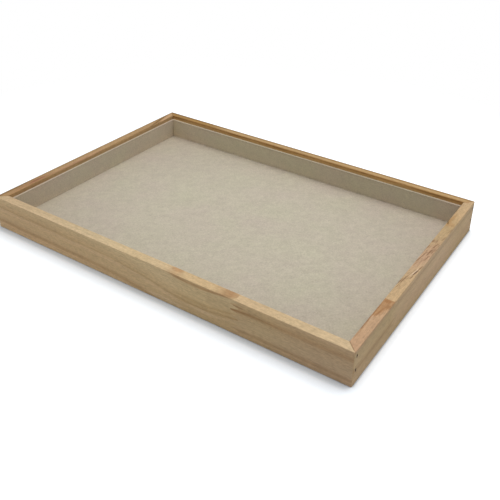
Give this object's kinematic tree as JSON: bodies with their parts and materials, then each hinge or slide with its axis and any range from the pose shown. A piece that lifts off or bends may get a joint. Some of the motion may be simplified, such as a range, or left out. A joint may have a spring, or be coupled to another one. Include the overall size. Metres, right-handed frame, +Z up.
{
  "type": "jewelry display tray",
  "caption": "Open shallow pine tray with mitred, finger-jointed rails, velvet-covered lining strips and a velvet-covered drop-in pad, for showing and keeping jewelry.",
  "frame": {"origin": "centre of the outline of the lower edges of the rails, on the surface that the tray stands on", "axes": "+X along the length towards the right rail, +Y across the width towards the back rail, +Z up"},
  "size_m": [0.35, 0.24, 0.03],
  "materials": {
    "pine_straw": "sanded, unvarnished pine, pale yellow",
    "pine_buff": "sanded, unvarnished pine, buff",
    "pine_pink": "sanded, unvarnished pine, pinkish",
    "pine_honey": "sanded, unvarnished pine, honey brown",
    "plywood": "sanded plywood",
    "greyboard": "uncoated grey card",
    "foam": "thin foam sheet",
    "velvet": "short-pile beige velvet",
    "steel": "plain steel wire"
  },
  "bodies": {
    "tray": {"front_rail_left_stave": "pine_buff", "front_rail_right_stave": "pine_straw", "right_rail_near_stave": "pine_pink", "right_rail_far_stave": "pine_straw", "back_rail": "pine_honey", "left_rail": "pine_buff", "corner_brads": "steel", "base_panel": "plywood", "base_brads": "steel", "front_lining_card": "greyboard", "back_lining_card": "greyboard", "left_lining_card": "greyboard", "right_lining_card": "greyboard", "front_lining_velvet": "velvet", "back_lining_velvet": "velvet", "left_lining_velvet": "velvet", "right_lining_velvet": "velvet"},
    "pad": {"pad_board": "greyboard", "pad_foam": "foam", "pad_velvet": "velvet"}
  },
  "joints": [
    {"name": "pad_lift", "type": "slide", "parent": "tray", "child": "pad", "axis": [0, 0, 1], "range_m": [0, 0.035]}
  ]
}
